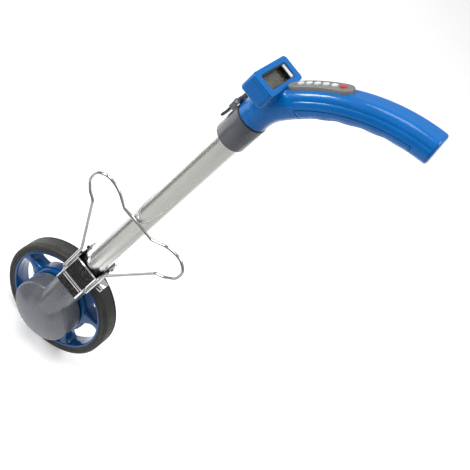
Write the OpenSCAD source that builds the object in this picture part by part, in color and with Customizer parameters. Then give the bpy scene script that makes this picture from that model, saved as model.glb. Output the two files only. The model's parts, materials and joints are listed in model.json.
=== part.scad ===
// Compact digital measuring wheel, collapsed for storage.
// Frame: +Z runs up the tube, the wheel's axle lies along Y through the origin,
// the dome side faces -Y and the grip reaches out towards +X.
// The wheel counts distance, so its circumference is half a metre.

/* [Wheel] */
// Outer diameter of the tyre
wheel_d = 159.2; // [120:0.1:200]
// Width of the tyre
wheel_w = 26; // [20:1:34]
// Distance from the tube's axis to the tyre's front side
wheel_y = 18; // [18:0.5:26]
// Radial thickness of the tyre
tyre_t = 9.6; // [6:0.2:14]
// Number of spokes
spokes = 5; // [4:1:8]
// Turn of the first spoke from +X towards +Z
spoke_phase = 27; // [0:1:71]

/* [Hub housing] */
// Radius of the drum that covers the hub
drum_r = 42; // [38:1:46]
// Front of the dome, measured from the tube's axis
drum_front = 17.6; // [17.2:0.1:24]
// Radius of the sphere that rounds the dome's front
dome_r = 115; // [76:1:120]
// Back of the drum, measured from the tube's axis
drum_back = 14; // [10:0.5:15]
// Radius of the neck's round sides
neck_r = 17; // [16.5:0.1:17.2]
// Half the width of the flat between the neck's round sides
neck_flat = 2.5; // [1:0.1:3]
// Wall thickness of the housing
wall = 3; // [2:0.5:4]

/* [Tubes] */
// Outer tube's outside radius
tube_r = 15; // [14:0.1:15.2]
// Outer tube's wall thickness
tube_t = 1.5; // [1:0.1:1.6]
// Inner tube's outside radius
inner_r = 12; // [11:0.1:12.5]
// Height of the outer tube's upper end
tube_top = 416; // [406:1:418]

/* [Stand] */
// Radius of the stand's wire
wire_r = 1.8; // [1.2:0.1:2]
// Height of the stand's pivot
pivot_z = 106; // [104:1:110]
// Half the spread of the stand's two feet
foot_x = 70; // [60:1:80]
// Height of the stand's crossbar when stowed
bar_z = 247; // [240:1:260]

/* [Handle] */
// Radius of the grip
grip_r = 16; // [15.5:0.1:16]
// Radius of the grip's bend
bend_r = 179.5; // [176:0.5:183]
// Direction from the bend's centre to the grip's end
end_a = 105; // [104:0.5:108]

/* [Display] */
// Size of the display head across the tube
head_w = 58; // [52:1:64]
// Size of the display head along X
head_h = 27; // [25:1:30]
// Depth of the display head
head_d = 21; // [18:1:24]

/* [Keys] */
// Distance from key to key along the grip
key_pitch = 8.1; // [7.5:0.1:9]
// Radius of a key
key_r = 3; // [2:0.1:3.2]

/* [Hidden] */
$fn = 64;

wheel_r = wheel_d / 2;
rim_r = wheel_r - tyre_t;
wheel_back = wheel_y + wheel_w;
hub_front = wheel_y + 1;        // front face of the wheel's boss
hub_back = wheel_y + 18;        // back face of the wheel's boss
hub_r = 46;                     // outside of the wheel's hub drum
boss_r = 14;                    // outside of the wheel's bearing boss
axle_r = 4;
race_r = 11;                    // outside of a bearing
race_w = 7;                     // width of a bearing
run_gap = 0.05;                 // radial clearance of a running fit
gap = 0.4;                      // clearance between bodies that pass each other

socket_z = 50;                  // floor of the neck's socket
neck_top = 81;
cavity_r = drum_r - wall;
lid_screw_r = 33;               // circle that the lid's screws stand on

bracket_z = 82;
bracket_h = 53;
bracket_x = 18;                 // outside half width of the strap
strap_t = 1.5;
screw_z = [112, 126];           // heights of the bracket's cross screws
front_top = 112;                // top of the clamp block in front of the tube
strap_back = 22;                // how far the strap's arms reach towards the wheel side
wire_y = -17.5;                 // plane of the stowed stand
leg_x = bracket_x + wire_r + 0.4;

collar_z = 403;
collar_h = 33;
collar_r = 17;
collar_top = collar_z + collar_h;
lever_x = -19.6;
lever_z = collar_top + 4;
shoe_z = collar_z + 17;          // underside of the brake shoe's window

stop_gap = 0.3;                 // rest gap between collar and bumper ring
neck_z = collar_top + stop_gap + 1.7;
inner_top = 462;
inner_bottom = 92;

bend_c = [167, 388];            // centre of the grip's bend in X and Z
start_a = 161;                  // direction where the bend starts, inside the neck
shell_t = 2.4;
seat_n = 12.3;                  // height of the keypad's flat above the grip's centre line
panel_n = 16;                   // height of the key strip above the grip's centre line
panel_w = 18;                   // width of the key strip
roof_n = 9.5;

head_x0 = 2 - head_h;
head_z1 = 487;
head_z0 = head_z1 - head_d;
win_x = -11.5;                  // centre of the display opening
win_h = 16;
win_w = 43;

keys = 6;
key_first = 145.1;              // direction of the first key
cover_a0 = 146;                 // direction where the grip's lower cover starts
cover_a1 = 110;                 // direction where it ends
cover_n = -4;                   // height of its edge above the grip's centre line
battery_a = 118;                // direction of the batteries' middle
cell_r = 5.2;
cell_l = 44;

// ---------- helpers ----------

// Cylinder or tube along Y
module along_y(r, y0, y1, bore = 0) {
    translate([0, y0, 0]) rotate([-90, 0, 0]) difference() {
        cylinder(r = r, h = y1 - y0);
        if (bore > 0) translate([0, 0, -1]) cylinder(r = bore, h = y1 - y0 + 2);
    }
}

// Cylinder or tube along Z
module along_z(r, z0, z1, bore = 0) {
    translate([0, 0, z0]) difference() {
        cylinder(r = r, h = z1 - z0);
        if (bore > 0) translate([0, 0, -1]) cylinder(r = bore, h = z1 - z0 + 2);
    }
}

// Cylinder along X
module along_x(r, x0, x1) {
    translate([x0, 0, 0]) rotate([0, 90, 0]) cylinder(r = r, h = x1 - x0);
}

// Round rod from one point to another
module rod(p, q, r) {
    v = q - p;
    flat = norm([v[0], v[1]]);
    translate(p) rotate([0, atan2(flat, v[2]), flat == 0 ? 0 : atan2(v[1], v[0])])
        cylinder(r = r, h = norm(v));
}

// Chain of rods with round joints
module rod_path(points, r) {
    for (i = [0:len(points) - 2]) rod(points[i], points[i + 1], r);
    for (i = [1:len(points) - 2]) translate(points[i]) sphere(r = r * 1.05);
}

// Rectangle with round corners, centred
module round_rect(w, h, r) {
    square([w - 2 * r, h], center = true);
    square([w, h - 2 * r], center = true);
    for (x = [-1, 1], y = [-1, 1]) translate([x * (w / 2 - r), y * (h / 2 - r)]) circle(r = r);
}

// Box with round upright edges; centre in X and Y, from z0 to z1
module round_box(w, h, r, z0, z1) {
    translate([0, 0, z0]) linear_extrude(z1 - z0) round_rect(w, h, r);
}

// Sweeps a section round the grip's bend; the section's x points outwards
module bend(from, to) {
    translate([bend_c[0], 0, bend_c[1]]) rotate([90, 0, 0]) rotate([0, 0, to])
        rotate_extrude(angle = from - to, $fn = 96) translate([bend_r, 0]) children();
}

// Puts a child on the bend: its z is the outward normal, its x runs towards the grip's end
module on_bend(a, n = 0) {
    translate([bend_c[0] + (bend_r + n) * cos(a), 0, bend_c[1] + (bend_r + n) * sin(a)])
        rotate([0, 90 - a, 0]) children();
}

function key_a(i) = key_first - i * key_pitch / (bend_r + panel_n) * 180 / PI;

module at_key(i) on_bend(key_a(i)) children();

// ---------- frame ----------

module outer_tube() {
    color("silver") along_z(tube_r, socket_z + 0.5, tube_top, bore = tube_r - tube_t);
}

module hub_housing() {
    color("dimgray") difference() {
        union() {
            rotate([-90, 0, 0]) rotate_extrude() drum_profile(drum_r, dome_r, drum_back);
            translate([0, 0, 20]) linear_extrude(neck_top - 20) {
                for (x = [-1, 1]) translate([x * neck_flat, 0]) circle(r = neck_r);
                square([2 * neck_flat, 2 * neck_r], center = true);
            }
        }
        difference() {
            rotate([-90, 0, 0]) rotate_extrude()
                drum_profile(cavity_r, dome_r - wall, drum_back + 1);
            along_y(10, -drum_front, drum_back);
            for (a = [45:90:315]) rotate([0, a, 0]) translate([lid_screw_r, 0, 0])
                along_y(4, -drum_front, drum_back - wall);
            for (x = [-1, 1]) translate([x * 11, 0, -20]) along_y(2.5, -drum_front, 8.2);
        }
        along_z(tube_r + 0.02, socket_z, neck_top + 1);
        along_z(4, cavity_r - 6, socket_z + 1);
        along_y(axle_r, -4, drum_back + 1);
        along_y(6, -12, -4);
        for (a = [45:90:315]) rotate([0, a, 0]) translate([lid_screw_r, 0, 0])
            along_y(1.5, 0, drum_back);
    }
}

// Half section of a drum of radius r with a domed front, cut off square at the back
module drum_profile(r, dome, back) {
    intersection() {
        translate([0, dome_r - drum_front]) circle(r = dome, $fn = 128);
        translate([0, -drum_front]) square([r, drum_front + back]);
    }
}

module housing_lid() {
    color("dimgray") difference() {
        along_y(cavity_r - 0.1, drum_back - wall, drum_back, bore = 10.1);
        for (a = [45:90:315]) rotate([0, a, 0]) translate([lid_screw_r, 0, 0])
            along_y(1.6, 0, drum_back + 1);
    }
}

module lid_screws() {
    color("silver") for (a = [45:90:315]) rotate([0, a, 0]) translate([lid_screw_r, 0, 0]) {
        along_y(1.5, 2, drum_back);
        along_y(3, drum_back, drum_back + 1.6);
    }
}

module axle() {
    color("silver") {
        along_y(6, -12, -4);
        along_y(axle_r, -4, hub_back + 8.5);
    }
}

module axle_spacer() {
    color("silver") along_y(7, drum_back, hub_front - 0.3, bore = axle_r);
}

module axle_washer() {
    color("silver") along_y(8, hub_back + 0.4, hub_back + 1.8, bore = axle_r);
}

module axle_nut() {
    color("silver") difference() {
        translate([0, hub_back + 1.8, 0]) rotate([-90, 0, 0]) cylinder(r = 7.5, h = 6, $fn = 6);
        along_y(axle_r, hub_back, hub_back + 9);
    }
}

module sensor_board() {
    color("green") translate([-15, 8.2, -34]) cube([30, 1.6, 20]);
    color("black") translate([-2, 9.8, -32]) cube([4, 1, 3]);
}

module sensor_lead() {
    color("black") rod_path([[14, 6, -14], [14, 4, 28], [0, 0, cavity_r + 1],
                             [0, 0, socket_z + 12]], 1.5);
}

module coiled_lead() {
    color("black") along_z(5, socket_z + 12, inner_top + 4);
}

module clamp_block() {
    color("dimgray") difference() {
        translate([0, (strap_back - 16.5) / 2, 0])
            round_box(2 * (bracket_x - strap_t), 16.5 + strap_back, 3, bracket_z,
                      bracket_z + bracket_h - 2);
        translate([-bracket_x, -bracket_x, front_top]) cube([2 * bracket_x, bracket_x, bracket_h]);
        along_z(tube_r + 0.02, neck_top, bracket_z + bracket_h);
        for (z = screw_z) translate([0, strap_back - 3.3, z]) along_x(2, -20, 20);
        for (x = [-1, 1]) translate([x * bracket_x, wire_y, pivot_z])
            cube([10, 8, 8], center = true);
    }
}

module stand_bracket() {
    color("lightgray") difference() {
        union() {
            translate([0, 0, bracket_z]) linear_extrude(bracket_h) difference() {
                translate([0, (strap_back - bracket_x) / 2])
                    round_rect(2 * bracket_x, bracket_x + strap_back, 3);
                translate([0, (strap_back - bracket_x + 8) / 2])
                    round_rect(2 * (bracket_x - strap_t), bracket_x + strap_back + 5, 1.6);
            }
            for (x = [-1, 1]) translate([x * (bracket_x - strap_t / 2), wire_y, pivot_z])
                along_x(4, -strap_t / 2, strap_t / 2);
        }
        for (z = screw_z) translate([0, strap_back - 3.3, z]) along_x(2, -20, 20);
        translate([0, wire_y, pivot_z]) {
            along_x(wire_r + run_gap, 14, 20);
            along_x(wire_r + run_gap, -20, -14);
        }
        for (x = [-1, 1]) translate([x * (bracket_x - strap_t - 2.5), wire_y, pivot_z])
            cube([5, 8, 6], center = true);
    }
}

module bracket_screws() {
    color("silver") for (z = screw_z) translate([0, strap_back - 3.3, z]) {
        along_x(2, -bracket_x, bracket_x);
        along_x(3.4, bracket_x, bracket_x + 2.2);
        along_x(3.4, -bracket_x - 2.2, -bracket_x);
    }
}

module stop_pegs() {
    color("black") for (x = [-1, 1]) translate([x * 17.2, -2, 0]) {
        along_z(0.7, bracket_z + bracket_h, bracket_z + bracket_h + 6);
        translate([x * 0.8, 0, 0]) along_z(1.9, bracket_z + bracket_h + 6,
                                           bracket_z + bracket_h + 8.5);
    }
}

module stand_catch() {
    color("gainsboro") translate([bracket_x, -7, pivot_z + 2]) {
        cube([strap_t, 10, 14]);
        translate([0, 0, 12.5]) cube([12, 10, strap_t]);
        translate([10.5, 0, 4]) cube([strap_t, 10, 9]);
        translate([5, 0, 4]) cube([6, 10, strap_t]);
    }
}

module tube_bush() {
    color("black") along_z(tube_r - tube_t - 0.01, tube_top - 20, tube_top - 0.2,
                           bore = inner_r + run_gap);
}

module lock_collar() {
    color("gray") difference() {
        union() {
            along_z(collar_r, collar_z, collar_top);
            for (y = [-1, 1]) translate([0, y * 7.5, 0]) lever_lug();
        }
        along_z(tube_r + 0.01, collar_z - 1, tube_top);
        along_z(inner_r + gap, collar_z, collar_top + 1);
        translate([-collar_r - 1, -5, shoe_z]) cube([7, 10, 10]);
        translate([lever_x, 0, lever_z]) along_y(1.5, -10, 10);
    }
}

// Ear that carries one end of the lever's pin
module lever_lug() {
    translate([lever_x, 0, lever_z]) along_y(2.9, -1, 1);
    translate([lever_x - 2.4, -1, collar_top - 6]) cube([5.2, 2, lever_z - collar_top + 6]);
    translate([lever_x - 2.4, -1, collar_top - 6]) cube([8.6, 2, 6]);
}

module brake_shoe() {
    color("black") difference() {
        translate([-collar_r + 0.2, -4.8, shoe_z + 0.2]) cube([5.5, 9.6, 9.6]);
        along_z(inner_r + gap, collar_z, collar_top);
    }
}

module lever_pin() {
    color("silver") translate([lever_x, 0, lever_z]) along_y(1.5, -8.7, 8.7);
}

// ---------- wheel ----------

module tyre() {
    color("#2a2a2a") rotate([-90, 0, 0]) rotate_extrude($fn = 128) polygon([
        [rim_r, wheel_y + 0.6], [wheel_r - 1, wheel_y], [wheel_r, wheel_y + 1],
        [wheel_r, wheel_back - 1], [wheel_r - 1, wheel_back], [rim_r, wheel_back - 0.6]]);
}

module wheel_rim() {
    color("royalblue") difference() {
        union() {
            along_y(rim_r, wheel_y + 1, wheel_back - 1, bore = rim_r - 3.5);
            along_y(hub_r, wheel_y + 2, wheel_back - 4, bore = hub_r - 3);
            along_y(hub_r - 1, wheel_y + 2, wheel_y + 5);
            along_y(boss_r, hub_front, hub_back);
            for (i = [0:spokes - 1]) rotate([0, -spoke_phase - i * 360 / spokes, 0]) spoke();
        }
        along_y(race_r, hub_front - 1, hub_front + race_w);
        along_y(race_r, hub_back - race_w, hub_back + 1);
        along_y(race_r - 2, hub_front, hub_back);
        for (i = [0:4]) rotate([0, 72 * i, 0]) translate([30, 0, 0])
            along_y(2.5, wheel_y, wheel_y + 4);
    }
}

// Tapered spoke along +X
module spoke() {
    translate([0, wheel_back - 4, 0]) rotate([90, 0, 0]) linear_extrude(wheel_w - 6) polygon([
        [hub_r - 2, -9], [rim_r - 2, -5.5], [rim_r - 2, 5.5], [hub_r - 2, 9]]);
}

module bearing(y) {
    color("silver") along_y(race_r, y, y + race_w, bore = axle_r + run_gap);
}

module front_bearing() bearing(hub_front);

module rear_bearing() bearing(hub_back - race_w);

module sensor_magnets() {
    color("silver") for (i = [0:4]) rotate([0, 72 * i, 0]) translate([30, 0, 0])
        along_y(2.5, wheel_y + 1.4, wheel_y + 4);
}

module hub_cap() {
    cap_top = hub_back + 11;
    color("royalblue") difference() {
        along_y(boss_r + 2, hub_back - 8, cap_top);
        along_y(boss_r, hub_back - 9, cap_top - 1.6);
    }
}

// ---------- stand ----------

module stand_wire() {
    right = [[foot_x - 48, bar_z], [foot_x - 30, bar_z + 12], [foot_x - 13, bar_z + 14],
             [foot_x, bar_z + 5], [foot_x, bar_z - 11], [foot_x - 9, bar_z - 23],
             [foot_x - 18, bar_z - 29], [leg_x, pivot_z + 44], [leg_x, pivot_z]];
    left = [for (i = [len(right) - 1:-1:0]) [-right[i][0], right[i][1]]];
    color("lightgray") {
        rod_path([for (p = concat(left, right)) [p[0], wire_y, p[1]]], wire_r);
        for (s = [-1, 1]) translate([s * leg_x, wire_y, pivot_z]) sphere(r = wire_r * 1.05);
        translate([0, wire_y, pivot_z]) {
            along_x(wire_r, 14.5, leg_x);
            along_x(wire_r, -leg_x, -14.5);
        }
    }
}

// ---------- lever ----------

module lock_lever() {
    color("#333333") difference() {
        union() {
            translate([lever_x, 0, lever_z]) along_y(2.4, -6, 6);
            translate([lever_x - 1.6, -6, lever_z - 24]) cube([2.2, 12, 24]);
            translate([lever_x - 2.4, -6, lever_z - 26]) cube([2.4, 12, 3.5]);
        }
        translate([lever_x, 0, lever_z]) along_y(1.5 + run_gap, -7, 7);
    }
}

// ---------- handle ----------

module inner_tube() {
    color("silver") along_z(inner_r, inner_bottom, inner_top, bore = inner_r - 1.2);
}

module guide_sleeve() {
    color("black") along_z(tube_r - tube_t - run_gap, inner_bottom, inner_bottom + 20,
                           bore = inner_r);
}

module bumper_ring() {
    color("black") along_z(16.2, collar_top + stop_gap, neck_z, bore = inner_r);
}

module neck_socket() {
    color("royalblue") along_z(grip_r + 0.3, neck_z, head_z0, bore = inner_r);
}

// Section of the grip with its keypad flat
module grip_section() {
    intersection() {
        circle(r = grip_r);
        translate([-grip_r, -grip_r]) square([grip_r + seat_n, 2 * grip_r]);
    }
}

module cavity_section() {
    intersection() {
        circle(r = grip_r - shell_t);
        translate([-grip_r, -grip_r]) square([grip_r + roof_n, 2 * grip_r]);
    }
}

// Grip as one solid, before it is split into shells
module handle_body() {
    difference() {
        bend(start_a, end_a) grip_section();
        bend(start_a + 1, end_a - 1) cavity_section();
        along_z(grip_r + 0.3, neck_z - 10, head_z0);
        translate([head_x0 + head_h / 2, 0, 0]) round_box(head_h, head_w, 4, head_z0 - 30,
                                                          head_z1 + 30);
        for (i = [0:keys - 1]) at_key(i) cylinder(r = key_r + gap, h = 30);
        bend(cover_a0, cover_a1) translate([-grip_r - 1, -grip_r - 1])
            square([grip_r + 1 + cover_n, 2 * grip_r + 2]);
        screw_places() along_y(1.4, -8, 20);
        screw_places() along_y(2.8, 10, 20);
    }
    difference() {
        screw_places() along_y(3.2, -14.2, 14.2);
        screw_places() along_y(2.8, 10, 20);
        screw_places() along_y(1.4, -8, 20);
    }
}

// The places of the screws that hold the two shells together
module screw_places() {
    for (a = [143.5, 129.5, end_a + 2.5]) on_bend(a, 2.6) children();
}

module left_shell() {
    color("royalblue") intersection() {
        handle_body();
        translate([-50, -40, 400]) cube([250, 40, 200]);
    }
}

module right_shell() {
    color("royalblue") intersection() {
        handle_body();
        translate([-50, 0, 400]) cube([250, 40, 200]);
    }
}

module head_shell() {
    color("royalblue") difference() {
        translate([head_x0 + head_h / 2, 0, 0]) round_box(head_h, head_w, 4, head_z0,
                                                          head_z1 - 4);
        translate([head_x0 + head_h / 2, 0, 0]) round_box(head_h - 4, head_w - 4, 2,
                                                          head_z0 + 2, head_z1);
        along_z(inner_r - 2, head_z0 - 1, head_z0 + 3);
    }
}

module display_bezel() {
    color("royalblue") difference() {
        translate([head_x0 + head_h / 2, 0, 0]) round_box(head_h, head_w, 4, head_z1 - 4,
                                                          head_z1);
        translate([win_x, 0, 0]) round_box(win_h, win_w, 2, head_z1 - 5, head_z1 + 1);
    }
}

module window_frame() {
    color("#303540") difference() {
        union() {
            translate([win_x, 0, 0]) round_box(win_h + 4, win_w + 6, 2, head_z1 - 9,
                                               head_z1 - 4);
            translate([win_x, 0, 0]) round_box(win_h, win_w, 2, head_z1 - 4.5, head_z1 - 1);
        }
        translate([win_x, 0, 0]) round_box(win_h - 2, win_w - 2, 1.2, head_z1 - 10, head_z1);
        translate([win_x, 0, 0]) round_box(win_h + 1, win_w + 1, 1.5, head_z1 - 10,
                                           head_z1 - 7);
    }
}

module display_window() {
    color("lightblue", 0.4) translate([win_x, 0, 0])
        round_box(win_h + 1, win_w + 1, 1.5, head_z1 - 8.2, head_z1 - 7);
}

module lcd_panel() {
    color("darkkhaki") translate([win_x, 0, 0])
        round_box(win_h + 3, win_w + 4, 0.5, head_z1 - 12, head_z1 - 9);
}

module display_board() {
    color("green") translate([head_x0 + 3, -head_w / 2 + 3, head_z1 - 15])
        cube([head_h - 6, head_w - 6, 1.6]);
}

module keypad_panel() {
    color("gray") difference() {
        bend(key_first + 3.5, key_a(keys - 1) - 3)
            translate([seat_n, -panel_w / 2]) square([panel_n - seat_n, panel_w]);
        for (i = [0:keys - 1]) at_key(i) cylinder(r = key_r + gap, h = 30);
    }
}

module keypad_board() {
    color("green") bend(key_first + 1, key_a(keys - 1) - 1) translate([6.4, -6])
        square([1.4, 12]);
}

// Open tray that carries the two cells
module battery_tray() {
    color("#222222") on_bend(battery_a, -1) difference() {
        translate([-25, -9.4, -6.4]) cube([50, 18.8, 4]);
        for (y = [-5.4, 5.4]) translate([-cell_l / 2 - 1, y, -1]) rotate([0, 90, 0])
            cylinder(r = cell_r + 0.1, h = cell_l + 2);
    }
}

module battery(y) {
    on_bend(battery_a, -1) translate([-cell_l / 2, y, -1]) rotate([0, 90, 0]) {
        color("goldenrod") cylinder(r = cell_r, h = cell_l - 1);
        color("silver") translate([0, 0, cell_l - 1]) cylinder(r = 2, h = 1);
    }
}

module left_battery() battery(-5.4);

module right_battery() battery(5.4);

module battery_contacts() {
    color("silver") on_bend(battery_a, -1) for (x = [-cell_l / 2 - 0.7, cell_l / 2 + 0.1])
        translate([x, -8, -2.3]) cube([0.6, 16, 7]);
}

// Lower cover of the grip, over the batteries
module grip_cover() {
    color("royalblue") difference() {
        bend(cover_a0 - 0.1, cover_a1 + 0.1) intersection() {
            difference() {
                circle(r = grip_r);
                circle(r = grip_r - shell_t);
            }
            translate([-grip_r - 1, -grip_r - 1]) square([grip_r + 0.7 + cover_n, 2 * grip_r + 2]);
        }
        on_bend(battery_a - 6, -20) cylinder(r = 1.6, h = 12);
        on_bend(battery_a - 6, -20) cylinder(r = 2.9, h = 4.8);
    }
}

module cover_screw() {
    color("silver") on_bend(battery_a - 6, -15.2) {
        cylinder(r = 1.5, h = 4);
        translate([0, 0, -0.7]) cylinder(r = 2.6, h = 0.7);
    }
}

module handle_screws() {
    color("silver") screw_places() {
        along_y(1.4, -6, 10);
        along_y(2.6, 10, 11.5);
    }
}

module end_cap() {
    color("royalblue") bend(end_a, end_a - 0.8) grip_section();
}

// ---------- keys ----------

module key(i) {
    at_key(i) translate([0, 0, panel_n - 3.2]) cylinder(r = key_r, h = 4);
}

module key_1() color("gainsboro") key(0);

module key_2() color("gainsboro") key(1);

module key_3() color("gainsboro") key(2);

module key_4() color("gainsboro") key(3);

module key_5() color("gainsboro") key(4);

module power_key() color("red") key(5);

outer_tube();
hub_housing();
housing_lid();
lid_screws();
axle();
axle_spacer();
axle_washer();
axle_nut();
sensor_board();
sensor_lead();
coiled_lead();
clamp_block();
stand_bracket();
bracket_screws();
stop_pegs();
stand_catch();
tube_bush();
lock_collar();
brake_shoe();
lever_pin();
tyre();
wheel_rim();
front_bearing();
rear_bearing();
sensor_magnets();
hub_cap();
stand_wire();
lock_lever();
inner_tube();
guide_sleeve();
bumper_ring();
neck_socket();
left_shell();
right_shell();
head_shell();
display_bezel();
window_frame();
display_window();
lcd_panel();
display_board();
keypad_panel();
keypad_board();
battery_tray();
left_battery();
right_battery();
battery_contacts();
grip_cover();
cover_screw();
handle_screws();
end_cap();
key_1();
key_2();
key_3();
key_4();
key_5();
power_key();
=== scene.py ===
"""Measuring wheel: detailed pieces, materials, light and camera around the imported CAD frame.

The modelling code works in millimetres, and add_piece() turns them into metres.
"""
import json
import math

import bmesh
import bpy
import numpy as np
from mathutils import Euler, Matrix, Vector


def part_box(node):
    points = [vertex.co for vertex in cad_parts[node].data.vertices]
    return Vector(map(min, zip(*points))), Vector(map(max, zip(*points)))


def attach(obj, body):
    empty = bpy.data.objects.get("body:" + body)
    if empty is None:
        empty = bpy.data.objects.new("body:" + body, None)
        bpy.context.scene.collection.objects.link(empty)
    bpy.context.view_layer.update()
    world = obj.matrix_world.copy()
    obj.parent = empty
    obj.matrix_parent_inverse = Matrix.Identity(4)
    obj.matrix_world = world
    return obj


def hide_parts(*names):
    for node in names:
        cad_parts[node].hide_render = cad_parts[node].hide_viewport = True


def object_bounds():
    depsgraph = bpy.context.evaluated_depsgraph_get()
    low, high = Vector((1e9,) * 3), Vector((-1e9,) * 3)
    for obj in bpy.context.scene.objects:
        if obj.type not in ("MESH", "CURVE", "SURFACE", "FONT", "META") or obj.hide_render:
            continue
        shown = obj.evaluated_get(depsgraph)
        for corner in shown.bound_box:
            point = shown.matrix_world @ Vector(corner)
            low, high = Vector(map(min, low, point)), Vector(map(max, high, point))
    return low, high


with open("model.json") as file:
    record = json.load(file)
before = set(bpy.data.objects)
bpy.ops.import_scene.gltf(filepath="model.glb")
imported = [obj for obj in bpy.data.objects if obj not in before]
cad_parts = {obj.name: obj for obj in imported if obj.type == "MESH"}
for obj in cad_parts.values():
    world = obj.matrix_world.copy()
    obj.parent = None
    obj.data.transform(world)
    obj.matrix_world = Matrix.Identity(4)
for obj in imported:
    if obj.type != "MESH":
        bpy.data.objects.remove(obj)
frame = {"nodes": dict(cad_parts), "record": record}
cad_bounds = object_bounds()

MM = 0.001
SCENE = bpy.context.scene
NEARLY_BLACK = (0.012, 0.012, 0.012)
DARK_GREY = (0.10, 0.10, 0.095)
MIDDLE_GREY = (0.52, 0.52, 0.50)
STAGE_WHITE = (0.92, 0.92, 0.92)


def box_mm(node):
    """Lowest and highest corner of a CAD node in millimetres."""
    low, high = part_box(node)
    return low / MM, high / MM


# ---------- camera and light ----------

def make_camera():
    """The photograph's view: down at the dome side, rolled so that the tube runs up to the right."""
    data = bpy.data.cameras.new("camera")
    data.lens = 65.1
    camera = bpy.data.objects.new("camera", data)
    SCENE.collection.objects.link(camera)
    turn = Euler((0, 0, math.radians(-1.05))).to_matrix()
    tilt = Euler((math.radians(48.0), 0, 0)).to_matrix()
    roll = Euler((0, 0, math.radians(51.9))).to_matrix()
    place = Matrix.Translation((0.0634, -0.6343, 0.8997))
    camera.matrix_world = place @ (turn @ tilt @ roll).to_4x4()
    SCENE.camera = camera


def area_light(name, place, target, size, power):
    """A white rectangular light that faces its target."""
    data = bpy.data.lights.new(name, "AREA")
    data.shape = "RECTANGLE"
    data.size, data.size_y = size
    data.energy = power
    light = bpy.data.objects.new(name, data)
    SCENE.collection.objects.link(light)
    light.location = place
    light.rotation_euler = (Vector(target) - Vector(place)).to_track_quat("-Z", "Y").to_euler()


def flat_rectangle(low_x, low_y, high_x, high_y, z):
    """Corners of a level rectangle."""
    return [(low_x, low_y, z), (high_x, low_y, z), (high_x, high_y, z), (low_x, high_y, z)]


def flat_card(name, corners, colour, glow=0.0):
    """A flat sheet of the stage, given by its corners in metres."""
    mesh = bpy.data.meshes.new(name)
    mesh.from_pydata(corners, [], [range(len(corners))])
    card = bpy.data.objects.new(name, mesh)
    SCENE.collection.objects.link(card)
    mesh.materials.append(plain_stage(name, colour, glow))
    return card


def reflection_card(name, corners, colour=NEARLY_BLACK):
    """A card that only shows in reflections, as in a studio's light tent."""
    card = flat_card(name, corners, colour)
    card.visible_camera = False
    card.visible_diffuse = False
    card.visible_shadow = False
    card.visible_transmission = False


def floor_ring(name, start, end, near, far, z, colour):
    """A reflection card on the floor: part of a ring round the tube, from start to end in degrees."""
    steps = 24
    turns = [math.radians(start + (end - start) * k / steps) for k in range(steps + 1)]
    inner = [(near * math.cos(t), near * math.sin(t), z) for t in turns]
    outer = [(far * math.cos(t), far * math.sin(t), z) for t in reversed(turns)]
    reflection_card(name, inner + outer, colour)


def make_world():
    """A soft sky: white overhead, slightly greyer towards the horizon."""
    world = bpy.data.worlds.new("studio")
    world.use_nodes = True
    SCENE.world = world
    tree = world.node_tree
    background = tree.nodes["Background"]
    coords = tree.nodes.new("ShaderNodeTexCoord")
    split = tree.nodes.new("ShaderNodeSeparateXYZ")
    ramp = tree.nodes.new("ShaderNodeValToRGB")
    tree.links.new(coords.outputs["Generated"], split.inputs[0])
    tree.links.new(split.outputs["Z"], ramp.inputs[0])
    tree.links.new(ramp.outputs[0], background.inputs["Color"])
    ramp.color_ramp.elements[0].color = (0.90, 0.905, 0.91, 1)
    ramp.color_ramp.elements[1].color = (1.0, 1.0, 1.0, 1)
    background.inputs["Strength"].default_value = 0.56


def make_stage():
    """Floor, lights and the cards that the tube, the wire and the strap reflect. All in metres."""
    SCENE.view_settings.view_transform = "Standard"
    low, high = cad_bounds
    floor_z = low.z - 0.0006
    card_z = floor_z + 0.004
    reach = 4.0
    flat_card("floor", flat_rectangle(-reach, -reach, reach, reach, floor_z), STAGE_WHITE, 0.22)
    floor_ring("streak_card", 208, 238, 0.075, 0.75, card_z + 0.001, DARK_GREY)
    floor_ring("right_card", 239, 395, 0.21, 0.85, card_z + 0.002, MIDDLE_GREY)
    reflection_card("plate_card", flat_rectangle(-0.075, -0.205, 0.045, -0.120, card_z))
    reflection_card("front_card", flat_rectangle(-2, -2, 2, -0.55, card_z))
    wall_y, wall_top = -1.7, 0.9
    reflection_card("front_wall", [(-2, wall_y, floor_z), (2, wall_y, floor_z),
                                   (2, wall_y, wall_top), (-2, wall_y, wall_top)])
    make_world()
    middle = (low + high) / 2
    area_light("key_light", (-0.8, -0.3, 1.7), middle, (1.0, 0.7), 17)
    area_light("top_light", (0.5, 0.4, 1.6), middle, (1.2, 0.5), 13)
    area_light("strip_light", (-1.0, -0.58, 0.72), (0.05, 0, 0.49), (0.26, 0.34), 9)


# ---------- materials ----------

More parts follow.
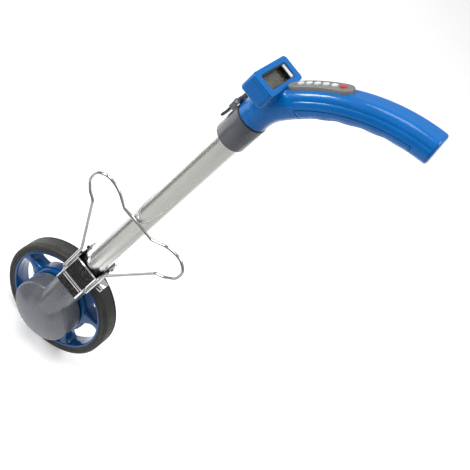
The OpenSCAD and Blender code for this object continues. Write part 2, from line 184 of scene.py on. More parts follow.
class Shade:
    """A node material built round one Principled shader."""

    def __init__(self, name, **constants):
        self.material = bpy.data.materials.new(name)
        self.material.use_nodes = True
        self.tree = self.material.node_tree
        self.shader = self.tree.nodes["Principled BSDF"]
        self.coords = self.tree.nodes.new("ShaderNodeTexCoord").outputs["Object"]
        for socket, value in constants.items():
            self.shader.inputs[socket.replace("_", " ")].default_value = value

    def node(self, kind, source=None, **values):
        made = self.tree.nodes.new(kind)
        if source is not None:
            self.tree.links.new(source, made.inputs[0])
        for socket, value in values.items():
            made.inputs[socket.replace("_", " ")].default_value = value
        return made

    def noise(self, per_metre, detail=3.0, stretch=(1, 1, 1)):
        """Noise with about per_metre features in a metre, fewer along a stretched axis."""
        scaled = self.node("ShaderNodeMapping", self.coords, Scale=stretch)
        made = self.node("ShaderNodeTexNoise", scaled.outputs[0], Scale=per_metre, Detail=detail)
        return made.outputs[0]

    def spread(self, value, low, high):
        """Stretches the middle of a noise over low to high."""
        made = self.node("ShaderNodeMapRange", value, From_Min=0.3, From_Max=0.7, To_Min=low, To_Max=high)
        return made.outputs[0]

    def colour(self, value, *colours):
        ramp = self.node("ShaderNodeValToRGB", value)
        stops = ramp.color_ramp.elements
        stops[0].position, stops[1].position = 0.3, 0.7
        stops[0].color = (*colours[0], 1)
        stops[1].color = (*colours[-1], 1)
        for i, middle in enumerate(colours[1:-1], 1):
            stops.new(0.3 + 0.4 * i / (len(colours) - 1)).color = (*middle, 1)
        self.tree.links.new(ramp.outputs[0], self.shader.inputs["Base Color"])
        return self

    def rough(self, value, low, high):
        self.tree.links.new(self.spread(value, low, high), self.shader.inputs["Roughness"])
        return self

    def bump(self, value, height_mm, strength=1.0):
        made = self.node("ShaderNodeBump", None, Strength=strength, Distance=height_mm * MM)
        self.tree.links.new(value, made.inputs["Height"])
        self.tree.links.new(made.outputs[0], self.shader.inputs["Normal"])
        return self


def plain_stage(name, colour, glow=0.0):
    shade = Shade(name, Specular_IOR_Level=0.2, Emission_Color=(1, 1, 1, 1), Emission_Strength=glow)
    noise = shade.noise(6, 2)
    shade.colour(noise, colour, tuple(0.97 * c for c in colour)).rough(noise, 0.6, 0.7)
    return shade.material


def moulded(name, base, rough, grain_mm=0.02, shift=0.12, **constants):
    """Injection-moulded plastic: slight colour drift, handling marks in the gloss and a fine grain."""
    shade = Shade(name, **constants)
    drift = shade.noise(18, 4)
    shade.colour(drift, tuple(c * (1 - shift) for c in base), base, tuple(c * (1 + shift) for c in base))
    shade.rough(shade.noise(60, 5), rough - 0.05, rough + 0.06)
    shade.bump(shade.noise(1800, 2), grain_mm, 0.5)
    return shade.material


def rubber(name, base, rough):
    shade = Shade(name, Specular_IOR_Level=0.35)
    dust = shade.noise(55, 6)
    shade.colour(dust, base, base, tuple(c * 1.5 + 0.006 for c in base))
    shade.rough(shade.noise(220, 4), rough - 0.06, rough + 0.08)
    shade.bump(shade.noise(1500, 3), 0.05, 0.6)
    return shade.material


def anodised(name, base):
    """Drawn and anodised tube: fine lines along Z in the gloss, a faint cloud in the colour."""
    shade = Shade(name, Metallic=1.0, Anisotropic=0.35)
    shade.colour(shade.noise(14, 4), tuple(c * 0.94 for c in base), base)
    lines = shade.noise(2600, 2, (1, 1, 0.012))
    shade.rough(lines, 0.24, 0.30)
    shade.bump(lines, 0.004, 0.20)
    return shade.material


def plated(name, base, low, high, ripple_mm=0.01):
    """Plated or polished metal with a few dull patches and a slight ripple."""
    shade = Shade(name, Metallic=1.0)
    shade.colour(shade.noise(70, 4), tuple(c * 0.88 for c in base), base)
    shade.rough(shade.noise(320, 5), low, high)
    shade.bump(shade.noise(160, 2), ripple_mm, 0.4)
    return shade.material


def circuit_board(name):
    shade = Shade(name, Coat_Weight=0.4)
    cells = shade.node("ShaderNodeTexVoronoi", shade.coords, Scale=420.0)
    shade.colour(cells.outputs["Distance"], (0.006, 0.05, 0.018), (0.01, 0.10, 0.035), (0.02, 0.16, 0.05))
    shade.rough(shade.noise(300), 0.30, 0.42)
    return shade.material


def liquid_crystal(name):
    """The blank display: a warm grey film with a fine cell grid."""
    shade = Shade(name, Specular_IOR_Level=0.3)
    grid = shade.node("ShaderNodeTexBrick", shade.coords, Scale=900.0, Mortar_Size=0.01)
    shade.colour(shade.noise(30, 1), (0.098, 0.090, 0.066), (0.110, 0.101, 0.075))
    shade.rough(shade.noise(200), 0.24, 0.34)
    shade.bump(grid.outputs["Fac"], 0.01, 0.3)
    return shade.material


def clear_window(name):
    shade = Shade(name, Transmission_Weight=1.0, IOR=1.46)
    shade.colour(shade.noise(30, 2), (0.93, 0.95, 0.96), (0.96, 0.97, 0.97))
    shade.rough(shade.noise(150, 4), 0.01, 0.05)
    return shade.material


HANDLE_BLUE = (0.000, 0.096, 0.325)
# Painted shade: the wheel is the same blue plastic as the handle, and this darker copy of HANDLE_BLUE paints
# the shade that falls on the wheel.
WHEEL_BLUE_WITH_PAINTED_SHADE = (0.000, 0.060, 0.200)
GREY = (0.085, 0.090, 0.105)
material = {
    "tube_metal": anodised("tube_metal", (0.72, 0.72, 0.70)),
    "housing_grey": moulded("housing_grey", GREY, 0.27, 0.02),
    "collar_grey": moulded("collar_grey", (0.072, 0.077, 0.088), 0.22, 0.02),
    "keypad_grey": moulded("keypad_grey", (0.13, 0.13, 0.125), 0.40, 0.03),
    "tyre_rubber": rubber("tyre_rubber", (0.022, 0.022, 0.020), 0.55),
    # The wheel_blue material carries painted shade: its base colour is the darkened copy of the handle's
    # blue.
    "wheel_blue": moulded("wheel_blue", WHEEL_BLUE_WITH_PAINTED_SHADE, 0.20, 0.008, 0.10, Specular_IOR_Level=0.3,
                          Coat_Weight=0.35, Coat_Roughness=0.07),
    "handle_blue": moulded("handle_blue", HANDLE_BLUE, 0.26, 0.008, 0.08, Specular_IOR_Level=0.14,
                           Coat_Weight=0.32, Coat_Roughness=0.06),
    "chrome_wire": plated("chrome_wire", (0.60, 0.60, 0.61), 0.05, 0.12),
    "chrome_sheet": plated("chrome_sheet", (0.74, 0.75, 0.77), 0.05, 0.13, 0.02),
    "steel": plated("steel", (0.66, 0.66, 0.66), 0.22, 0.38),
    "magnet": plated("magnet", (0.52, 0.52, 0.54), 0.18, 0.30),
    "black_plastic": moulded("black_plastic", (0.014, 0.014, 0.015), 0.42, 0.03),
    "black_rubber": rubber("black_rubber", (0.016, 0.016, 0.016), 0.60),
    "lever_black": moulded("lever_black", (0.030, 0.031, 0.034), 0.32, 0.02),
    "circuit_board": circuit_board("circuit_board"),
    "cable": rubber("cable", (0.018, 0.018, 0.018), 0.50),
    "frame_dark": moulded("frame_dark", (0.030, 0.034, 0.045), 0.30, 0.02),
    "window_clear": clear_window("window_clear"),
    "lcd": liquid_crystal("lcd"),
    "cell": moulded("cell", (0.42, 0.24, 0.05), 0.30, 0.01),
    "key_light": moulded("key_light", (0.50, 0.51, 0.53), 0.35, 0.02),
    "key_dish": moulded("key_dish", (0.07, 0.07, 0.069), 0.38, 0.02),
    "key_red": moulded("key_red", (0.42, 0.018, 0.022), 0.33, 0.02),
}


# ---------- mesh helpers ----------

def add_piece(name, bm, body, slot, replaces=(), sharp=38.0, extra=()):
    """Makes a piece from a bmesh in millimetres. Edges that turn by more than sharp degrees stay crisp."""
    bmesh.ops.scale(bm, vec=(MM, MM, MM), verts=bm.verts)
    bmesh.ops.recalc_face_normals(bm, faces=bm.faces)
    limit = math.radians(sharp)
    for face in bm.faces:
        face.smooth = True
    for edge in bm.edges:
        edge.smooth = len(edge.link_faces) == 2 and edge.calc_face_angle() < limit
    mesh = bpy.data.meshes.new(name)
    bm.to_mesh(mesh)
    bm.free()
    if "custom_normal" in mesh.attributes:
        mesh.attributes.remove(mesh.attributes["custom_normal"])
    mesh.materials.clear()
    for key in (slot, *extra):
        mesh.materials.append(material[key])
    piece = bpy.data.objects.new(name, mesh)
    SCENE.collection.objects.link(piece)
    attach(piece, body)
    if replaces:
        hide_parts(*replaces)
    return piece


def full_turn(count):
    """Directions spaced evenly round a full turn, in radians."""
    return [math.tau * i / count for i in range(count)]


def loft(bm, loops, ends=True, material_index=0):
    """Skins closed loops of 3D points, one after another."""
    rings = [[bm.verts.new(p) for p in loop] for loop in loops]
    faces = []
    for a, b in zip(rings, rings[1:]):
        faces += [bm.faces.new((a[i - 1], a[i], b[i], b[i - 1])) for i in range(len(a))]
    if ends:
        faces += [bm.faces.new(rings[0]), bm.faces.new(rings[-1])]
    for face in faces:
        face.material_index = material_index


def lathe(bm, profile, axis, steps=144):
    """Turns a closed outline of (radius, height) round the Y or Z axis."""
    rings = []
    for t in full_turn(steps):
        c, s = math.cos(t), math.sin(t)
        at = (lambda r, h: (r * c, h, r * s)) if axis == "Y" else (lambda r, h: (r * c, r * s, h))
        rings.append([bm.verts.new(at(r, h)) for r, h in profile])
    for a, b in zip(rings, rings[1:] + rings[:1]):
        for i in range(len(profile)):
            bm.faces.new((a[i - 1], a[i], b[i], b[i - 1]))


def rounded(points, radii, steps=4, closed=True):
    """Rounds the corners of an outline or path; a radius per corner, or one for all."""
    points = [Vector(p) for p in points]
    radii = radii if hasattr(radii, "__len__") else [radii] * len(points)
    out = []
    for i, (corner, radius) in enumerate(zip(points, radii)):
        is_end = not closed and i in (0, len(points) - 1)
        if radius <= 0 or is_end:
            out.append(corner)
            continue
        before = points[i - 1] - corner
        after = points[(i + 1) % len(points)] - corner
        half = max(before.angle(after) / 2, 0.02)
        trim = min(radius / math.tan(half), 0.49 * before.length, 0.49 * after.length)
        start, end = corner + before.normalized() * trim, corner + after.normalized() * trim
        for k in range(steps + 1):
            f = k / steps
            out.append(start * (1 - f) ** 2 + corner * 2 * f * (1 - f) + end * f * f)
    return out


def tube(bm, path, radius, sides=20):
    """A round wire along a path of 3D points."""
    last = len(path) - 1
    tangents = [(path[min(i + 1, last)] - path[max(i - 1, 0)]).normalized() for i in range(last + 1)]
    normal = tangents[0].orthogonal().normalized()
    loops = []
    for point, tangent in zip(path, tangents):
        normal = (normal - tangent * normal.dot(tangent)).normalized()
        other = tangent.cross(normal)
        loops.append([point + (normal * math.cos(t) + other * math.sin(t)) * radius
                      for t in full_turn(sides)])
    loft(bm, loops)


def softened(node, radius, sharp=30.0):
    """A copy of a CAD node in millimetres whose sharp edges are rounded."""
    bm = bmesh.new()
    bm.from_mesh(frame["nodes"][node].data)
    bmesh.ops.scale(bm, vec=(1 / MM,) * 3, verts=bm.verts)
    bmesh.ops.remove_doubles(bm, verts=bm.verts, dist=0.004)
    bmesh.ops.dissolve_limit(bm, angle_limit=math.radians(0.8), verts=bm.verts, edges=bm.edges)
    limit = math.radians(sharp)
    edges = [edge for edge in bm.edges if len(edge.link_faces) == 2 and edge.calc_face_angle() > limit]
    bmesh.ops.bevel(bm, geom=edges, offset=radius, segments=3, profile=0.5, affect="EDGES",
                    clamp_overlap=True)
    return bm


def softened_piece(node, body, slot, radius):
    add_piece(node + "_moulding", softened(node, radius), body, slot, [node])


# ---------- smooth blends from a distance field ----------

def smooth_min(a, b, k):
    """The lesser of two fields, with their meeting rounded over a width of about k."""
    h = np.clip(0.5 + 0.5 * (b - a) / k, 0, 1)
    return b * (1 - h) + a * h - k * h * (1 - h)


def smooth_max(a, b, k):
    return -smooth_min(-a, -b, k)


def skin(rough_shape, field, voxel):
    """Remeshes a rough bmesh and moves its points on to the surface where field is 0."""
    mesh = bpy.data.meshes.new("rough")
    rough_shape.to_mesh(mesh)
    rough_shape.free()
    rough = bpy.data.objects.new("rough", mesh)
    SCENE.collection.objects.link(rough)
    remesh = rough.modifiers.new("remesh", "REMESH")
    remesh.mode = "VOXEL"
    remesh.voxel_size = voxel
    evaluated = rough.evaluated_get(bpy.context.evaluated_depsgraph_get())
    fine = bpy.data.meshes.new_from_object(evaluated)
    points = np.array([v.co for v in fine.vertices], float)
    step = 0.05
    passes = 6
    for _ in range(passes):
        value = field(points)
        slope = np.stack([(field(points + d) - field(points - d)) / (2 * step)
                          for d in np.eye(3) * step], 1)
        square = np.maximum((slope ** 2).sum(1), 0.05)
        points -= slope * np.clip(value / square, -2, 2)[:, None]
    bm = bmesh.new()
    bm.from_mesh(fine)
    for vert, point in zip(bm.verts, points):
        vert.co = point
    bpy.data.objects.remove(rough)
    return bm


def cut_plane(bm, point, outward):
    """Cuts off what lies past a plane and closes the cut."""
    geometry = bm.verts[:] + bm.edges[:] + bm.faces[:]
    cut = bmesh.ops.bisect_plane(bm, geom=geometry, plane_co=point, plane_no=outward, clear_outer=True)
    edges = [e for e in cut["geom_cut"] if isinstance(e, bmesh.types.BMEdge)]
    bmesh.ops.contextual_create(bm, geom=edges)


def carved(bm, tool_bm):
    """Takes a closed tool away from a closed bmesh."""
    bmesh.ops.recalc_face_normals(tool_bm, faces=tool_bm.faces)
    pair = []
    for name, source in (("body", bm), ("tool", tool_bm)):
        mesh = bpy.data.meshes.new(name)
        source.to_mesh(mesh)
        source.free()
        pair.append(bpy.data.objects.new(name, mesh))
        SCENE.collection.objects.link(pair[-1])
    cut = pair[0].modifiers.new("cut", "BOOLEAN")
    cut.operation = "DIFFERENCE"
    cut.object = pair[1]
    result = bmesh.new()
    result.from_mesh(pair[0].evaluated_get(bpy.context.evaluated_depsgraph_get()).to_mesh())
    for used in pair:
        bpy.data.objects.remove(used)
    return result


def box_tool(low, high):
    """A closed box, as a tool for carved()."""
    bm = bmesh.new()
    loft(bm, [flat_rectangle(*low[:2], *high[:2], z) for z in (low[2], high[2])])
    return bm


# ---------- wheel ----------

WHEEL_LOW, WHEEL_HIGH = box_mm("tyre")
RIM_LOW, RIM_HIGH = box_mm("wheel_rim")
TYRE_R = WHEEL_HIGH.z
RIM_R = RIM_HIGH.x
HUB_R = 46.0
BOSS_R = 14.0
SPOKES = 5
SPOKE_PHASE = 27.0


def make_tyre():
    """A rubber ring with a raised line on each side and four fine grooves in its tread."""
    front, back = WHEEL_LOW.y, WHEEL_HIGH.y
    groove, depth = 0.8, 0.55
    side = [(RIM_R + 0.05, 0.9), (RIM_R + 1.2, 0.35), (RIM_R + 2.6, 0.35), (RIM_R + 3.0, 0.95),
            (RIM_R + 3.8, 0.95), (RIM_R + 4.2, 0.25), (TYRE_R - 1.9, 0.0), (TYRE_R - 0.12, 1.9)]
    tread = []
    for middle in (3.4, 4.8):
        tread += [(TYRE_R - 0.1, middle - groove / 2), (TYRE_R - depth, middle - groove / 4),
                  (TYRE_R - depth, middle + groove / 4), (TYRE_R - 0.05, middle + groove / 2)]
    half = [(r, front + y) for r, y in side + tread] + [(TYRE_R, (front + back) / 2 - 5)]
    mirrored = [(r, front + back - y) for r, y in reversed(half)]
    radii = [0.4] * 6 + [1.4, 1.2] + [0.08] * 8 + [3]
    outline = rounded(half + mirrored, radii + radii[::-1], 3)
    bm = bmesh.new()
    lathe(bm, outline, "Y", 180)
    add_piece("tyre_tread", bm, "wheel", "tyre_rubber", ["tyre"])


def spoke_loops(angle):
    """Sections of one spoke, from inside the hub's wall to inside the rim."""
    inner, outer = HUB_R - 1.5, RIM_R - 3.2
    along = Vector((math.cos(angle), 0, math.sin(angle)))
    across = Vector((-math.sin(angle), 0, math.cos(angle)))
    loops = []
    stations, sides = 18, 28
    squareness = 0.36
    for k in range(stations + 1):
        u = k / stations
        half_width = 4.2 + 7.5 * (1 - u) ** 2.4 + 4.5 * u ** 5
        front = RIM_LOW.y + 1.2 + 1.6 * math.sin(math.pi * u)
        back = RIM_HIGH.y - 3.0 + 1.6 * u
        centre = along * (inner + (outer - inner) * u) + Vector((0, (front + back) / 2, 0))
        loop = []
        for t in full_turn(sides):
            x = math.copysign(abs(math.cos(t)) ** squareness, math.cos(t))
            y = math.copysign(abs(math.sin(t)) ** squareness, math.sin(t))
            loop.append(centre + across * (half_width * x) + Vector((0, (back - front) / 2 * y, 0)))
        loops.append(loop)
    return loops


def make_wheel():
    """Rim, hub drum and boss turned as rings, five spokes and ten ribs inside the hub."""
    front, back = RIM_LOW.y, RIM_HIGH.y
    middle = (front + back) / 2
    bm = bmesh.new()
    lathe(bm, rounded([(RIM_R, front), (RIM_R, back), (RIM_R - 2.6, back), (RIM_R - 3.3, back - 1.8),
                       (RIM_R - 4.0, middle + 0.6), (RIM_R - 4.0, middle - 0.6), (RIM_R - 3.3, front + 1.8),
                       (RIM_R - 2.6, front)], 0.7), "Y", 180)
    lathe(bm, rounded([(BOSS_R - 0.5, front + 4), (BOSS_R - 0.5, front + 1.4), (HUB_R, front + 1.0),
                       (HUB_R, back - 3), (HUB_R - 3, back - 3), (HUB_R - 3, front + 4)],
                      [0, 0.5, 6.5, 0.8, 0.8, 2], 6), "Y")
    lathe(bm, rounded([(BOSS_R - 5, front), (BOSS_R, front), (BOSS_R, front + 17), (BOSS_R - 3, front + 17),
                       (BOSS_R - 3, front + 10), (BOSS_R - 5, front + 10)], 0.5), "Y")
    for i in range(SPOKES):
        loft(bm, spoke_loops(math.radians(SPOKE_PHASE + i * 360 / SPOKES)))
    for i in range(2 * SPOKES):
        turn = Matrix.Rotation(math.radians(SPOKE_PHASE + i * 180 / SPOKES), 4, "Y").inverted()
        corners = [(front + 3, -0.9), (front + 3, 0.9), (front + 14, 0.6), (front + 14, -0.6)]
        loft(bm, [[turn @ Vector((r, y, z)) for y, z in corners] for r in (BOSS_R - 0.6, HUB_R - 2.5)])
    add_piece("wheel_moulding", bm, "wheel", "wheel_blue", ["wheel_rim"])


# ---------- housing and stand ----------

DRUM_LOW, DRUM_HIGH = box_mm("hub_housing")
DOME_R = 115.0
NECK_R = 17.0
NECK_FLAT = 2.5
WIRE_R = 1.8
WIRE_END = 16.6
STRAP_X = box_mm("stand_bracket")[1].x
STRAP_BACK = box_mm("stand_bracket")[1].y
STRAP_T = 1.5


def housing_field(p):
    """The domed drum and the neck that the tube stands in, as one blended field."""
    x, y, z = p.T
    radius = np.hypot(x, z)
    sphere = np.hypot(radius, y - (DOME_R + DRUM_LOW.y)) - DOME_R
    drum = smooth_max(smooth_max(sphere, radius - DRUM_HIGH.x, 2.4), y - DRUM_HIGH.y, 1.2)
    neck = np.hypot(np.maximum(np.abs(x) - NECK_FLAT, 0), y) - NECK_R
    neck = smooth_max(neck, 2 - z, 3)
    return smooth_min(drum, neck, 1.0)


def make_housing():
    """The housing's moulding, with its open back recessed for the lid."""
    bm = bmesh.new()
    front, back, edge = DRUM_LOW.y, DRUM_HIGH.y, DRUM_HIGH.x
    lathe(bm, [(0.01, front), (20, front + 1.8), (edge - 3, front + 7.5), (edge, front + 10), (edge, back),
               (0.01, back)], "Y", 96)
    section = [(NECK_R * math.cos(t) + math.copysign(NECK_FLAT, math.cos(t)), NECK_R * math.sin(t))
               for t in full_turn(64)]
    loft(bm, [[(x, y, z) for x, y in section] for z in (8, DRUM_HIGH.z + 4)])
    bm = skin(bm, housing_field, 0.85)
    cut_plane(bm, (0, 0, DRUM_HIGH.z), (0, 0, 1))
    lid_low, lid_high = box_mm("housing_lid")
    seat, past = lid_high.x + 0.3, back + 9
    tool = bmesh.new()
    lathe(tool, [(0.001, lid_low.y), (seat, lid_low.y), (seat, past), (0.001, past)], "Y")
    bmesh.ops.remove_doubles(tool, verts=tool.verts, dist=0.002)
    bm = carved(bm, tool)
    add_piece("housing_moulding", bm, "frame", "housing_grey", ["hub_housing"], sharp=50)


def make_stand():
    """The bent wire: a crossbar, a lobe at each side and two legs down to the pivot, a little askew."""
    low, high = box_mm("stand_wire")
    joint = 1.05 * WIRE_R
    foot, bar, pivot = high.x - joint, high.z - joint - 14, low.z + joint
    leg, knee = STRAP_X + WIRE_R + 0.4, pivot + 44
    corners = [(foot - 48, bar, 4), (foot - 30, bar + 12, 30), (foot - 13, bar + 14, 16),
               (foot, bar + 5, 14), (foot, bar - 11, 16), (foot - 9, bar - 23, 16), (foot - 18, bar - 29, 9),
               (leg, knee, 10), (leg, pivot, 2.4), (WIRE_END, pivot, 0)]
    whole = [(-x, z, r) for x, z, r in reversed(corners)] + corners
    y = (low.y + high.y) / 2
    path = rounded([(x, y, z) for x, z, r in whole], [r for x, z, r in whole], 9, closed=False)
    for point in path:
        askew = min(max((point.z - knee) / 60, 0), 1)
        point.x, point.z = point.x + 2.6 * askew, point.z + 0.045 * point.x * askew
    bm = bmesh.new()
    tube(bm, path, WIRE_R)
    add_piece("stand_wire_bent", bm, "stand", "chrome_wire", ["stand_wire"])


def bracket_section(z, top):
    """Outline of the strap at one height. Two beads and a turned top edge stand out from its front."""
    below = top - z
    upper_bead = 0.42 * math.exp(-((33.5 - below) / 0.7) ** 2)
    lower_bead = 0.22 * math.exp(-((38 - below) / 0.5) ** 2)
    turned_edge = 0.7 * max(0.0, 1 - below / 0.9)
    out = upper_bead + lower_bead + turned_edge
    x, front, back = STRAP_X, -STRAP_X, STRAP_BACK
    across = [x - 3.2, x - 4.0, x - 4.8, 0.0, 4.8 - x, 4.0 - x, 3.2 - x]
    pushed = [0.0, 0.5, 1.0, 1.0, 1.0, 0.5, 0.0]
    outer = rounded([(x, back, 0), (x, front, 0), (-x, front, 0), (-x, back, 0)], [0, 3, 3, 0], 5)
    half = len(outer) // 2
    plate = [Vector((at, front - out * f, 0)) for at, f in zip(across, pushed)]
    x -= STRAP_T
    front += STRAP_T
    inner = rounded([(-x, back, 0), (-x, front, 0), (x, front, 0), (x, back, 0)], [0, 1.6, 1.6, 0], 5)
    return [(p[0], p[1], z) for p in outer[:half] + plate + outer[half:] + inner]


def make_bracket():
    """The strap round the clamp block, with an ear at each side for the stand's wire."""
    low, high = box_mm("stand_bracket")
    bm = bmesh.new()
    heights = [low.z, low.z + 0.4, *np.arange(low.z + 12, low.z + 23, 0.2), high.z - 1.2, high.z - 0.9,
               high.z - 0.4, high.z]
    loft(bm, [bracket_section(z, high.z) for z in heights])
    pivot = box_mm("stand_wire")[0].z + 1.05 * WIRE_R
    y = -STRAP_X + 0.5
    ear = [(STRAP_X - STRAP_T, 3.7), (STRAP_X - STRAP_T + 0.3, 4.0), (STRAP_X - 0.3, 4.0), (STRAP_X, 3.7)]
    for side in (-1, 1):
        loft(bm, [[(side * x, y + r * math.cos(t), pivot + r * math.sin(t)) for t in full_turn(40)]
                  for x, r in ear])
    add_piece("bracket_strap", bm, "frame", "chrome_sheet", ["stand_bracket"], sharp=24)


# ---------- handle ----------

BEND_X, BEND_Z, BEND_R = 167.0, 388.0, 179.5
GRIP_R = 16.0
SEAT_N = 12.3
ROOT_A = 146.0
COVER_A = 110.0
COVER_N = -4.0
RIBS = 44
END_A = 105.0
CAP_A = 104.2
END_ROUND = 3.0
NECK_OUT = box_mm("neck_socket")[1].x
NECK_Z = box_mm("neck_socket")[0].z
HEAD_LOW, HEAD_HIGH = box_mm("head_shell")


def grip_field(y, n):
    """Distance-like value of the grip's section: round, with a flat on top."""
    return smooth_max(np.hypot(y, n) - GRIP_R, n - SEAT_N, 2.0)


def outline(angle):
    """Radius of the grip's section in a direction, 0 being straight up, found by halving."""
    low, high = 8.0, 20.0
    for _ in range(24):
        middle = (low + high) / 2
        y, n = np.float64(middle * math.sin(angle)), np.float64(middle * math.cos(angle))
        low, high = (middle, high) if grip_field(y, n) < 0 else (low, middle)
    return low


def bend_point(a, y, n):
    """A point on the grip: a in degrees round the bend, y across, n outwards."""
    r, t = BEND_R + n, math.radians(a)
    return Vector((BEND_X + r * math.cos(t), y, BEND_Z + r * math.sin(t)))


def root_field(p):
    """The head, the neck and the start of the grip, as one blended field."""
    x, y, z = p.T
    head_mid = (HEAD_LOW + HEAD_HIGH) / 2
    head_half = (HEAD_HIGH - HEAD_LOW) / 2
    corner = 4.0
    tall = 6.0
    q = np.stack([np.abs(x - head_mid.x) - head_half.x + corner, np.abs(y) - head_half.y + corner,
                  np.abs(z - head_mid.z - tall) - head_half.z - tall + corner], 1)
    head = np.linalg.norm(np.maximum(q, 0), axis=1) + np.minimum(q.max(1), 0) - corner
    neck = smooth_max(np.hypot(x, y) - NECK_OUT, z - HEAD_HIGH.z + 6, 3)
    rho = np.hypot(x - BEND_X, z - BEND_Z)
    a = np.degrees(np.arctan2(z - BEND_Z, x - BEND_X))
    grip = smooth_max(grip_field(y, rho - BEND_R), (a - 160) * BEND_R * math.radians(1), 6)
    return smooth_min(smooth_min(head, neck, 3.0), grip, 4.0)


def make_handle_root():
    """The head, the neck and the first stretch of the grip, blended like one moulding."""
    bm = bmesh.new()
    turns = full_turn(48)
    loft(bm, [[(NECK_OUT * math.cos(t), NECK_OUT * math.sin(t), z) for t in turns]
              for z in (NECK_Z - 4, HEAD_HIGH.z - 6)])
    half_y = HEAD_HIGH.y
    loft(bm, [flat_rectangle(HEAD_LOW.x, -half_y, HEAD_HIGH.x, half_y, z)
              for z in (HEAD_LOW.z, HEAD_HIGH.z + 4)])
    section = [(outline(t) * math.sin(t), outline(t) * math.cos(t)) for t in turns]
    loft(bm, [[bend_point(a, y, n) for y, n in section] for a in np.linspace(159, ROOT_A - 4, 12)])
    bm = skin(bm, root_field, 0.95)
    cut_plane(bm, (0, 0, NECK_Z), (0, 0, -1))
    t = math.radians(ROOT_A)
    cut_plane(bm, bend_point(ROOT_A, 0, 0), (math.sin(t), 0, -math.cos(t)))
    above = box_tool((HEAD_LOW.x - 9, -50, HEAD_HIGH.z), (HEAD_HIGH.x + 0.05, 50, HEAD_HIGH.z + 40))
    bm = carved(bm, above)
    low, high = box_mm("window_frame")
    room = Vector((0.25, 0.25, 0))
    floor = box_mm("display_board")[0].z
    bm = carved(bm, box_tool((*(low - room).xy, floor), (*(high + room).xy, HEAD_HIGH.z + 9)))
    add_piece("head_moulding", bm, "handle", "handle_blue", ["neck_socket", "head_shell"], sharp=50)


def end_inset(a):
    """How far the section shrinks near the grip's end, so that its rim is round."""
    left = max((a - CAP_A) * math.radians(1) * BEND_R, 0.0)
    past = max(END_ROUND - left, 0.0)
    return END_ROUND - math.sqrt(max(END_ROUND ** 2 - past ** 2, 0.0))


def finger_wave(a, angle):
    """Depth of the finger hollows and the fine ribs along the underside of the lower cover."""
    under = max(-math.cos(angle), 0.0) ** 1.5
    run = (ROOT_A - a) / (ROOT_A - COVER_A)
    fade = min(1.0, 6 * run, 6 * (1 - run))
    hollow = 0.8 * (0.5 + 0.5 * math.cos(math.tau * (run * 4.5 + 0.5)))
    rib = 0.35 * (0.5 + 0.5 * math.cos(angle * RIBS))
    return under * max(fade, 0.0) * (hollow + rib)


def side_groove(angle):
    """A shallow styling channel along each side, above the lower cover's seam."""
    n = GRIP_R * math.cos(angle)
    return 0.7 * math.exp(-((n - 4.2) / 1.0) ** 2)


def grip_stations(start, end, count, extra=()):
    """Section angles from the root towards the end, in degrees."""
    return sorted([*np.linspace(start, end, count), *extra], reverse=True)


def make_grip_half(name, side, node):
    """One half of the grip from the root to the end cap, with a ledge under the lower cover."""
    seam = 0.04
    ledge = 2.1
    steps = 60
    angles = [math.pi * i / steps for i in range(steps + 1)]
    near_end = [CAP_A + 0.85 + 0.12 * k for k in range(9)]
    loops = []
    for a in grip_stations(ROOT_A - 0.02, END_A + 0.02, 70, [COVER_A + 0.03, COVER_A - 0.03, *near_end]):
        inset = end_inset(a)
        loop = []
        for t in angles:
            covered = a > COVER_A and GRIP_R * math.cos(t) < COVER_N + 0.2
            r = outline(t) - inset - (ledge if covered else side_groove(t) * (0 if inset else 1))
            loop.append(bend_point(a, side * (r * math.sin(t) + seam), r * math.cos(t)))
        loops.append(loop)
    bm = bmesh.new()
    loft(bm, loops)
    add_piece(name, bm, "handle", "handle_blue", [node])


def make_lower_cover():
    """The cover under the grip, with finger hollows."""
    edge = math.acos((COVER_N - 0.1) / GRIP_R)
    inside = GRIP_R - 2.0
    steps = 144
    angles = [edge + (math.tau - 2 * edge) * i / steps for i in range(steps + 1)]
    loops = []
    for a in grip_stations(ROOT_A - 0.15, COVER_A + 0.15, 90):
        rim = min(1.0, (ROOT_A - 0.15 - a) / 0.25, (a - COVER_A - 0.15) / 0.25)
        outer = []
        for i, t in enumerate(angles):
            side = min(1.0, i / 3, (steps - i) / 3)
            r = outline(t) - finger_wave(a, t) - 0.35 * (1 - max(min(rim, side), 0))
            outer.append(bend_point(a, r * math.sin(t), r * math.cos(t)))
        inner = [bend_point(a, inside * math.sin(t), inside * math.cos(t)) for t in reversed(angles)]
        loops.append(outer + inner)
    bm = bmesh.new()
    loft(bm, loops)
    add_piece("lower_cover", bm, "handle", "handle_blue", ["grip_cover"])


def make_grip_end():
    """The grip's flat end, with a round rim."""
    stations = 12
    start = END_A - 0.02
    loops = []
    for k in range(stations + 1):
        a = start - (start - CAP_A) * math.sin(math.pi / 2 * k / stations)
        inset = end_inset(a)
        loop = []
        for t in full_turn(96):
            r = outline(t) - inset
            loop.append(bend_point(a, r * math.sin(t), r * math.cos(t)))
        loops.append(loop)
    bm = bmesh.new()
    loft(bm, loops)
    add_piece("grip_end_cap", bm, "handle", "handle_blue", ["end_cap"], sharp=60)


# ---------- keypad ----------

PANEL_N = 16.0
KEYS = ["key_1", "key_2", "key_3", "key_4", "key_5", "power_key"]
MM_TO_DEG = math.degrees(1) / (BEND_R + PANEL_N)


def key_angle(key):
    """Where a key sits round the bend, in degrees."""
    low, high = box_mm(key)
    middle = (low + high) / 2
    return math.degrees(math.atan2(middle.z - BEND_Z, middle.x - BEND_X))


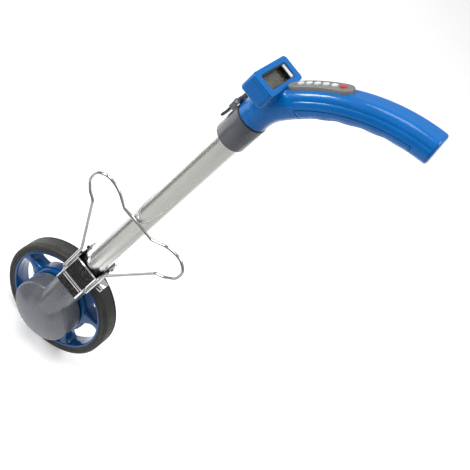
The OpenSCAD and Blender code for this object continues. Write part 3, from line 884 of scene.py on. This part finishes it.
def make_keypad():
    """A grey panel with round ends and a raised rim, lying on the grip's flat."""
    half = box_mm("keypad_panel")[1].y
    first = key_angle(KEYS[0]) + 3.5
    last = key_angle(KEYS[-1]) - 3
    length = (first - last) / MM_TO_DEG
    profile = [(1.0, SEAT_N - 0.3 - PANEL_N), (1.0, -1.1), (0.97, -0.35), (0.92, -0.04), (0.87, 0.0),
               (0.82, -0.08), (0.78, -0.4), (0.72, -0.5), (0.35, -0.5)]
    stations = 80
    loops = []
    for k in range(stations + 1):
        s = length / 2 * (1 - math.cos(math.pi * k / stations))
        cap = max(half - s, s - (length - half), 0.0)
        width = math.sqrt(max(half ** 2 - cap ** 2, 0.02))
        one = [(width - half * (1 - f) if width > half * (1 - f) else 0.02, h) for f, h in profile]
        section = one + [(-w, h) for w, h in reversed(one)]
        a = first - s * MM_TO_DEG
        loops.append([bend_point(a, w, PANEL_N + h) for w, h in section])
    bm = bmesh.new()
    loft(bm, loops)
    add_piece("keypad_moulding", bm, "handle", "keypad_grey", ["keypad_panel"])


def make_keys():
    """Round keys with a raised ring and a shallow middle of another colour."""
    top = 0.8
    ring = [(2.7, -1.6), (3.0, -1.5), (3.0, top - 0.3), (2.92, top - 0.06), (2.8, top), (2.5, top - 0.03),
            (2.4, top - 0.12)]
    dish = [(2.4, top - 0.12), (1.5, top - 0.18), (0.6, top - 0.21), (0.02, top - 0.22)]
    turns = full_turn(48)
    for key in KEYS:
        a = key_angle(key)
        tilt = Matrix.Rotation(math.radians(90 - a), 4, "Y")
        place = Matrix.Translation(bend_point(a, 0, PANEL_N)) @ tilt
        ring_loops, dish_loops = ([[place @ Vector((r * math.cos(t), r * math.sin(t), h)) for t in turns]
                                   for r, h in profile] for profile in (ring, dish))
        bm = bmesh.new()
        loft(bm, ring_loops)
        bm.faces.ensure_lookup_table()
        bm.faces.remove(bm.faces[-1])
        loft(bm, dish_loops, ends=False, material_index=1)
        bmesh.ops.remove_doubles(bm, verts=bm.verts, dist=0.001)
        outside, middle = ("key_red", "key_red") if key == "power_key" else ("key_light", "key_dish")
        add_piece(key + "_cap", bm, key, outside, [key], extra=[middle])


# ---------- small parts ----------

def make_pale_end_strip():
    """A pale strip across the far end of the display's opening."""
    low, high = box_mm("window_frame")
    end = high.y - 4.05
    top = high.z - 0.3
    near = end - 2.4
    section = [(near, top - 2.2, 0), (end, top - 1.2, 0), (end, top, 0), (near, top - 1.2, 0)]
    corners = rounded(section, 0.3, 3)
    bm = bmesh.new()
    loft(bm, [[(x, p.x, p.y) for p in corners] for x in (low.x + 3.1, high.x - 3.1)])
    add_piece("pale_end_strip", bm, "handle", "key_light")


def make_bumper():
    """The soft ring between the collar and the neck."""
    low, high = box_mm("bumper_ring")
    inner = 12.05
    corners = [(inner, low.z), (high.x, low.z), (high.x, high.z), (inner, high.z)]
    bm = bmesh.new()
    lathe(bm, rounded(corners, 0.6), "Z")
    add_piece("bumper_ring_soft", bm, "handle", "black_rubber", ["bumper_ring"])


# CAD nodes whose visible piece is the CAD shape with rounded edges: node, body, slot, radius in millimetres
SOFTENED = (
    ("clamp_block", "frame", "housing_grey", 0.8),
    ("bracket_screws", "frame", "steel", 0.6),
    ("stand_catch", "frame", "chrome_sheet", 0.4),
    ("stop_pegs", "frame", "black_rubber", 0.3),
    ("lock_collar", "frame", "collar_grey", 0.7),
    ("lid_screws", "frame", "steel", 0.5),
    ("hub_cap", "wheel", "wheel_blue", 1.4),
    ("axle_nut", "frame", "steel", 0.4),
    ("lock_lever", "lever", "lever_black", 0.7),
    ("display_bezel", "handle", "handle_blue", 1.3),
    ("window_frame", "handle", "frame_dark", 0.4),
)


make_camera()
make_stage()
make_tyre()
make_wheel()
make_housing()
make_stand()
make_bracket()
make_handle_root()
make_grip_half("left_grip", -1, "left_shell")
make_grip_half("right_grip", 1, "right_shell")
make_lower_cover()
make_grip_end()
make_keypad()
make_keys()
make_bumper()
make_pale_end_strip()
for soft_piece in SOFTENED:
    softened_piece(*soft_piece)

for part in frame["record"]["subparts"]:
    cad_object = frame["nodes"][part["node"]]
    cad_object.data.materials.clear()
    cad_object.data.materials.append(material[part["material_slot"]])
